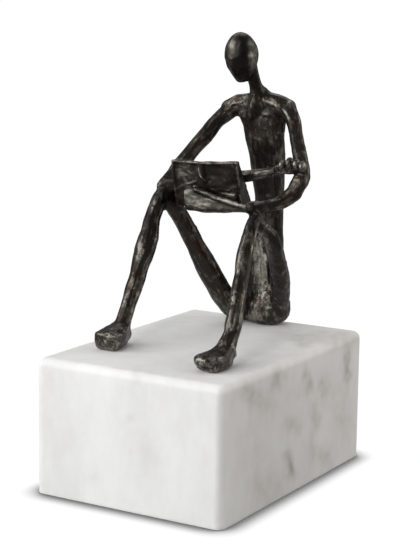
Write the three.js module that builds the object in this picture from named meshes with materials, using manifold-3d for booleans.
// A slim, long-limbed bronze reader sits on a block of white marble with the knees drawn up,
// and holds an open book over them.
//
// Millimetres, +Z up. The origin is at the centre of the block's underside. The reader faces -Y,
// so its left side is on +X and its right side on -X.

import * as THREE from 'three';
import { mergeVertices } from 'three/addons/utils/BufferGeometryUtils.js';
import Module from 'manifold-3d';

const wasm = await Module();
wasm.setup();

const point = (x, y, z) => new THREE.Vector3(x, y, z);
const east = point(1, 0, 0);
const upright = point(0, 0, 1);

// The marble block.
const blockWidth = 127;
const blockDepth = 176;
const blockHeight = 82;
const blockCornerRadius = 5;
const blockTopRadius = 3.5;
const blockRoundSteps = 4;
const restingGap = 0.3;

// The pose: where each joint of the figure lies.
const crown = point(-3.5, 41, 268);
const chin = point(-2.5, 46, 239);
const skullBase = point(0, 51, 242);
const neckBase = point(2.5, 60, 227.5);
const chest = point(3, 62, 211);
const waist = point(4, 69, 169);
const pelvis = point(-1, 77, 95);
const shoulder = { right: point(-20.5, 60, 220), left: point(21.5, 59, 222.5) };
const elbow = { right: point(-42.5, 20, 174.4), left: point(48.5, 26, 178.5) };
const wrist = { right: point(25, 34, 185.5), left: point(22.5, 3, 167.5) };
const fingertips = { right: point(42, 31, 190.5), left: point(-17.5, 8, 168) };
const buttock = { right: point(-20, 78.5, 91), left: point(8, 73, 94.5) };
const hip = { right: point(-17.5, 66.5, 89.5), left: point(12, 73, 95) };
const kneeFront = { right: point(-44.5, 12, 163.5), left: point(30.5, 2, 161) };
const kneeBack = { right: point(-38.5, 21.5, 165.5), left: point(31.5, 12, 154) };
const ankle = { right: point(-39.5, -29, 99), left: point(40, -41, 98) };
const heel = { right: point(-40, -28, 87), left: point(41, -41, 87) };
const toe = { right: point(-39.5, -48, 87), left: point(37, -62.5, 87) };

// Half width and half depth of the body at even places along each stretch, from its upper end.
const neckGirth = [[14, 4.4], [8, 4.4], [3.6, 4], [4, 4.6]];
const trunkGirth = [[14, 4], [14.6, 5.8], [12, 5.6], [8.8, 5.2], [10.8, 6.8], [14.4, 10.5]];
const yokeGirth = [[5.6, 4.6], [7.6, 5.4], [5.6, 4.6]];
const seatGirth = [[9.5, 9], [12.2, 11.4], [12.6, 11]];
const upperArmGirth = [[5.2, 5.2], [4.3, 4.2], [4.2, 4.2]];
const forearmGirth = {
  right: [[4, 4], [3.2, 3.4], [2.7, 2.7]],
  left: [[5.6, 4.8], [4.8, 4], [3.4, 3]],
};
const thighGirth = {
  right: [[7.2, 7.2], [6.6, 6.6], [5, 5]],
  left: [[6, 8.4], [5.2, 6.2], [4.2, 4.4]],
};
const shinGirth = {
  right: [[4.8, 5], [5.8, 5.4], [4, 4.2]],
  left: [[3.8, 4.6], [4.2, 4.6], [3.8, 4.4]],
};
const kneeGirth = [[5, 4.6], [5, 5]];
const soleGirth = [[3.2, 4.6], [5.6, 5.4], [7.4, 5.3]];
const instepGirth = [[4, 4.3], [4.2, 5.2], [5.6, 3.8]];
const bookPalmGirth = [[3.6, 3.2], [6.2, 4], [6.4, 3.4]];
const thumbGirth = [[1.8, 1.8], [1.7, 1.9], [1.5, 1.6]];
const gripPalmGirth = [[2.8, 2.8], [5.4, 3], [6, 3]];
const fingerGirth = [[1.6, 1.6], [1.6, 1.6], [1.3, 1.3]];
const elbowSize = [4.8, 4.8, 5];

// How far the middle of each limb bows away from the straight line between its joints.
const upperArmBow = { right: [0, 1, 1], left: [1.5, 1, 0] };
const forearmBow = { right: [0, 0, 0.5], left: [0, 0, -3.4] };
const thighBow = { right: [-1, -1, -3], left: [5, 1, 2] };
const shinBow = { right: [-1, 1, -1], left: [-1, 0, 0] };

const fingerCount = 4;
const knuckleRow = 11;

// The head, an egg on its small end. The places of its relief are shares of its half sizes.
const skullHalfWidth = 9.6;
const skullHalfDepth = 10.4;
const skullSquareness = 2.2;
const jawNarrowing = 3;
const chinFlat = 0.93;
const gaze = point(-0.12, -1, 0);
const nose = { height: 1.5, middle: -0.22, width: 0.2, length: 0.3 };
const socket = { depth: 1.3, apart: 0.42, level: -0.02, width: 0.22, height: 0.14 };

// The open book: two leaves that meet at the spine.
const bookSpine = point(-9.5, 7, 190.5);
const bookLeafWidth = 23.5;
const bookHeight = 29;
const bookTopThickness = 3;
const bookBottomThickness = 16;
const bookOpening = 10;
const bookLean = 9;
const bookRoll = 3;
const bookRimWidth = 1.6;
const bookRimHeight = 1.1;
const spineRadius = 1.7;

// Fineness of the surfaces.
const limbSides = 12;
const domeSteps = 2;
const headSides = 24;
const headRows = 16;
const weldDistance = 1e-4;

// A closed geometry becomes a solid once its shared corners are one vertex each.
function solid(geometry) {
  const bare = new THREE.BufferGeometry();
  bare.setAttribute('position', geometry.getAttribute('position').clone());
  const index = geometry.getIndex();
  if (index) bare.setIndex(index.clone());
  const merged = mergeVertices(bare, weldDistance);
  const corners = merged.getIndex().array;
  const triangles = [];
  for (let i = 0; i < corners.length; i += 3) {
    const [a, b, c] = [corners[i], corners[i + 1], corners[i + 2]];
    if (a !== b && b !== c && c !== a) triangles.push(a, b, c);
  }
  return new wasm.Manifold(new wasm.Mesh({
    numProp: 3,
    vertProperties: Float32Array.from(merged.getAttribute('position').array),
    triVerts: Uint32Array.from(triangles),
  }));
}

function join(pieces) {
  return pieces.reduce((whole, piece) => whole.add(piece));
}

function geometryOf(manifold) {
  const mesh = manifold.getMesh();
  const geometry = new THREE.BufferGeometry();
  geometry.setAttribute('position', new THREE.BufferAttribute(Float32Array.from(mesh.vertProperties), 3));
  geometry.setIndex(Array.from(mesh.triVerts));
  geometry.computeVertexNormals();
  return geometry;
}

function offset(from, x, y, z) {
  return from.clone().add(point(x, y, z));
}

function mixed(from, to, share, x = 0, y = 0, z = 0) {
  return from.clone().lerp(to, share).add(point(x, y, z));
}

// Values given at a few places along a limb are eased from one to the next.
function eased(profile, t) {
  const last = profile.length - 1;
  const place = THREE.MathUtils.clamp(t, 0, 1) * last;
  const i = Math.min(Math.floor(place), last - 1);
  const blend = THREE.MathUtils.smoothstep(place - i, 0, 1);
  return profile[i].map((value, k) => THREE.MathUtils.lerp(value, profile[i + 1][k], blend));
}

// A round section is 2, and a higher number makes it squarer.
function squared(value, squareness) {
  return Math.sign(value) * Math.abs(value) ** (2 / squareness);
}

// A smooth bump of height 1 round one place.
function bump(value, place, width) {
  return Math.exp(-(((value - place) / width) ** 2));
}

// A limb is a capsule laid along a curve. girth lists [half width, half depth] at even places
// along it, and across is the direction of the width.
function limb({ along, girth, across = east, squareness = 2.3, rings = 10, sides = limbSides, dome = 0.8 }) {
  const curve = new THREE.CatmullRomCurve3(along, false, 'centripetal');
  const geometry = new THREE.CapsuleGeometry(1, 1, domeSteps, sides, rings);
  const position = geometry.getAttribute('position');
  for (let i = 0; i < position.count; i++) {
    const [x, y, z] = [position.getX(i), position.getY(i), position.getZ(i)];
    const t = THREE.MathUtils.clamp(y + 0.5, 0, 1);
    const beyond = y + 0.5 - t;
    const tangent = curve.getTangent(t);
    const depth = new THREE.Vector3().crossVectors(across, tangent).normalize();
    const width = new THREE.Vector3().crossVectors(tangent, depth);
    const [halfWidth, halfDepth] = eased(girth, t);
    const radius = Math.hypot(x, z) || 1;
    const place = curve.getPoint(t)
      .addScaledVector(tangent, beyond * dome * Math.min(halfWidth, halfDepth))
      .addScaledVector(width, squared(x / radius, squareness) * radius * halfWidth)
      .addScaledVector(depth, squared(z / radius, squareness) * radius * halfDepth);
    position.setXYZ(i, place.x, place.y, place.z);
  }
  return solid(geometry);
}

function ball(centre, halfSizes) {
  const geometry = new THREE.SphereGeometry(1, limbSides, limbSides - 4);
  geometry.scale(...halfSizes);
  geometry.translate(centre.x, centre.y, centre.z);
  return solid(geometry);
}

// The marble block: rounded upright and upper edges, and a sharp lower edge.
function marbleBlock() {
  const [w, d, r] = [blockWidth / 2, blockDepth / 2, blockCornerRadius];
  const quarter = Math.PI / 2;
  const outline = new THREE.Shape();
  outline.absarc(w - r, d - r, r, 0, quarter);
  outline.absarc(-w + r, d - r, r, quarter, 2 * quarter);
  outline.absarc(-w + r, -d + r, r, 2 * quarter, 3 * quarter);
  outline.absarc(w - r, -d + r, r, 3 * quarter, 4 * quarter);
  const geometry = new THREE.ExtrudeGeometry(outline, {
    depth: blockHeight,
    curveSegments: blockRoundSteps,
    bevelThickness: blockTopRadius,
    bevelSize: blockTopRadius,
    bevelOffset: -blockTopRadius,
    bevelSegments: blockRoundSteps,
  });
  geometry.translate(0, 0, -blockTopRadius);
  const below = new THREE.BoxGeometry(blockWidth * 2, blockDepth * 2, blockHeight);
  below.translate(0, 0, -blockHeight / 2);
  return solid(geometry).subtract(solid(below));
}

// The head is an egg that narrows to a flat chin, with a nose ridge and shallow sockets.
function head() {
  const geometry = new THREE.SphereGeometry(1, headSides, headRows);
  const position = geometry.getAttribute('position');
  const up = new THREE.Vector3().subVectors(crown, chin).normalize();
  const side = new THREE.Vector3().crossVectors(up, gaze).normalize();
  const face = new THREE.Vector3().crossVectors(side, up);
  const centre = mixed(chin, crown, 0.5);
  const halfHeight = crown.distanceTo(chin) / 2;
  for (let i = 0; i < position.count; i++) {
    const [x, y, z] = [position.getX(i), position.getY(i), position.getZ(i)];
    const jaw = THREE.MathUtils.smoothstep(-y, -0.1, 1) * jawNarrowing;
    const ridge = nose.height * bump(x, 0, nose.width) * bump(y, nose.middle, nose.length);
    const sockets = bump(Math.abs(x), socket.apart, socket.width) * bump(y, socket.level, socket.height);
    const relief = z > 0 ? ridge - socket.depth * sockets : 0;
    const place = centre.clone()
      .addScaledVector(up, Math.max(y, -chinFlat) * halfHeight)
      .addScaledVector(side, squared(x, skullSquareness) * (skullHalfWidth - jaw))
      .addScaledVector(face, z * (skullHalfDepth - jaw * 0.6) + relief);
    position.setXYZ(i, place.x, place.y, place.z);
  }
  return solid(geometry);
}

function neck() {
  return limb({
    along: [
      mixed(neckBase, chest, 0.25),
      neckBase,
      mixed(neckBase, skullBase, 0.5, 0.3, 0, 0),
      offset(skullBase, -0.5, -3, 5),
    ],
    girth: neckGirth,
    rings: 9,
  });
}

// The torso is a flat slab that tapers from the chest to the waist and widens into the pelvis.
function torso() {
  const trunk = limb({
    along: [
      mixed(chest, neckBase, 0.45),
      chest,
      mixed(chest, waist, 0.4, 0, 1, 0),
      waist,
      mixed(waist, pelvis, 0.45, 0, 1.5, 0),
      offset(pelvis, 0, -1.5, -3),
    ],
    girth: trunkGirth,
    squareness: 3,
    rings: 18,
    sides: 18,
    dome: 0.5,
  });
  const yoke = limb({
    along: [shoulder.right, offset(neckBase, 0, 1, -6), shoulder.left],
    girth: yokeGirth,
    across: upright,
  });
  return join([trunk, yoke]);
}

// The seat is one broad low mass that lies flat on the stone.
function seat() {
  return limb({
    along: [buttock.right, offset(pelvis, 0, -2.5, -2), buttock.left],
    girth: seatGirth,
    across: upright,
    squareness: 3,
    rings: 7,
    dome: 0.9,
  });
}

// A leg: a long thigh from the hip up to the knee and a shin down to the foot.
function leg(side) {
  const thigh = limb({
    along: [hip[side], mixed(hip[side], kneeBack[side], 0.5, ...thighBow[side]), kneeBack[side]],
    girth: thighGirth[side],
  });
  const shin = limb({
    along: [kneeFront[side], mixed(kneeFront[side], ankle[side], 0.5, ...shinBow[side]), ankle[side]],
    girth: shinGirth[side],
  });
  const knee = limb({ along: [kneeFront[side], kneeBack[side]], girth: kneeGirth, rings: 2 });
  return join([thigh, shin, knee, foot(side)]);
}

// A blunt club of a foot: a narrow heel, a sloping instep and a thick square toe.
function foot(side) {
  const sole = limb({
    along: [heel[side], mixed(heel[side], toe[side], 0.5), toe[side]],
    girth: soleGirth,
    squareness: 3.6,
    rings: 5,
  });
  const instep = limb({
    along: [
      offset(ankle[side], 0, 0.5, 3),
      offset(ankle[side], 0, -2, -4),
      mixed(heel[side], toe[side], 0.72, 0, 0, 1),
    ],
    girth: instepGirth,
    rings: 5,
  });
  return join([sole, instep]);
}

function arm(side) {
  const upper = limb({
    along: [shoulder[side], mixed(shoulder[side], elbow[side], 0.5, ...upperArmBow[side]), elbow[side]],
    girth: upperArmGirth,
  });
  const fore = limb({
    along: [elbow[side], mixed(elbow[side], wrist[side], 0.5, ...forearmBow[side]), wrist[side]],
    girth: forearmGirth[side],
    across: upright,
    rings: 8,
  });
  return join([upper, fore, ball(elbow[side], elbowSize)]);
}

// The left hand lies under and before the book: a broad slab with a thumb along its upper edge.
function bookHand() {
  const palm = limb({
    along: [wrist.left, mixed(wrist.left, fingertips.left, 0.35, 0, 0.5, 0), fingertips.left],
    girth: bookPalmGirth,
    across: upright,
    squareness: 3,
    dome: 0.6,
  });
  const thumb = limb({
    along: [
      offset(wrist.left, 0, -0.5, 2.5),
      mixed(wrist.left, fingertips.left, 0.5, 0, -1.8, 5),
      offset(fingertips.left, 4, -1.5, 7.5),
    ],
    girth: thumbGirth,
    rings: 8,
    sides: 8,
  });
  return join([palm, thumb]);
}

// The right hand reaches across and closes its fingers on the left arm above the elbow.
function grippingHand() {
  const tips = fingertips.right;
  const palm = limb({
    along: [wrist.right, mixed(wrist.right, tips, 0.5, 0, 1.5, 0), offset(tips, -2, 1, 0)],
    girth: gripPalmGirth,
    across: upright,
    rings: 6,
  });
  const fingers = [];
  for (let i = 0; i < fingerCount; i++) {
    const rise = knuckleRow * (0.45 - i / (fingerCount - 1));
    fingers.push(limb({
      along: [
        offset(tips, -6, -1, rise),
        offset(tips, 1, -3.6, rise + 0.3),
        offset(tips, 6.5, -2.5, rise - 0.4),
      ],
      girth: fingerGirth,
      rings: 4,
      sides: 8,
    }));
  }
  return join([palm, ...fingers]);
}

// A solid moved by a matrix. A mirrored one has its triangles turned to face out again.
function placed(manifold, matrix) {
  const geometry = geometryOf(manifold);
  geometry.applyMatrix4(matrix);
  if (matrix.determinant() < 0) {
    const index = geometry.getIndex();
    for (let i = 0; i < index.count; i += 3) {
      const swapped = index.getX(i);
      index.setX(i, index.getX(i + 1));
      index.setX(i + 1, swapped);
    }
  }
  return solid(geometry);
}

function bar(width, height, x, z) {
  const geometry = new THREE.BoxGeometry(width, bookRimHeight * 2, height);
  geometry.translate(x, 0, z);
  return solid(geometry);
}

// One half of the open book: a wedge that is thin along its top and thick along its bottom,
// with a raised rim along the top and the outer edge of its cover.
function bookLeaf(out) {
  const wedge = new THREE.Shape([
    new THREE.Vector2(0, 0),
    new THREE.Vector2(bookTopThickness, 0),
    new THREE.Vector2(bookBottomThickness, -bookHeight),
    new THREE.Vector2(0, -bookHeight),
  ]);
  const geometry = new THREE.ExtrudeGeometry(wedge, { depth: bookLeafWidth, bevelEnabled: false });
  geometry.applyMatrix4(new THREE.Matrix4().makeBasis(point(0, 1, 0), point(0, 0, 1), point(1, 0, 0)));
  const leaf = join([
    solid(geometry),
    bar(bookLeafWidth, bookRimWidth, bookLeafWidth / 2, -bookRimWidth / 2),
    bar(bookRimWidth, bookHeight, bookLeafWidth - bookRimWidth / 2, -bookHeight / 2),
  ]);
  const turn = new THREE.Matrix4().makeRotationZ(THREE.MathUtils.degToRad(bookOpening));
  return placed(leaf, new THREE.Matrix4().makeScale(out, 1, 1).multiply(turn));
}

function book() {
  const spine = new THREE.CylinderGeometry(spineRadius, spineRadius, bookHeight, 10);
  spine.rotateX(Math.PI / 2);
  spine.translate(0, 0.4, -bookHeight / 2);
  const place = new THREE.Matrix4().makeTranslation(bookSpine.x, bookSpine.y, bookSpine.z)
    .multiply(new THREE.Matrix4().makeRotationY(THREE.MathUtils.degToRad(-bookRoll)))
    .multiply(new THREE.Matrix4().makeRotationX(THREE.MathUtils.degToRad(bookLean)));
  return placed(join([bookLeaf(1), bookLeaf(-1), solid(spine)]), place);
}

// The whole casting, cut off flat where it sits and stands on the stone.
function figure() {
  const body = join([
    head(),
    neck(),
    torso(),
    seat(),
    leg('right'),
    leg('left'),
    arm('right'),
    arm('left'),
    bookHand(),
    grippingHand(),
    book(),
  ]);
  const stone = new THREE.BoxGeometry(blockWidth, blockDepth, blockHeight);
  stone.translate(0, 0, blockHeight / 2 + restingGap);
  return body.subtract(solid(stone));
}

const marble = new THREE.MeshStandardMaterial({ color: 0xdedcd8, roughness: 0.45, metalness: 0 });
const bronze = new THREE.MeshStandardMaterial({ color: 0x3b332d, roughness: 0.45, metalness: 0.9 });

const sculpture = new THREE.Group();
for (const [name, manifold, material] of [
  ['marble_base', marbleBlock(), marble],
  ['reading_figure', figure(), bronze],
]) {
  const mesh = new THREE.Mesh(geometryOf(manifold), material);
  mesh.name = name;
  sculpture.add(mesh);
}

export default sculpture;
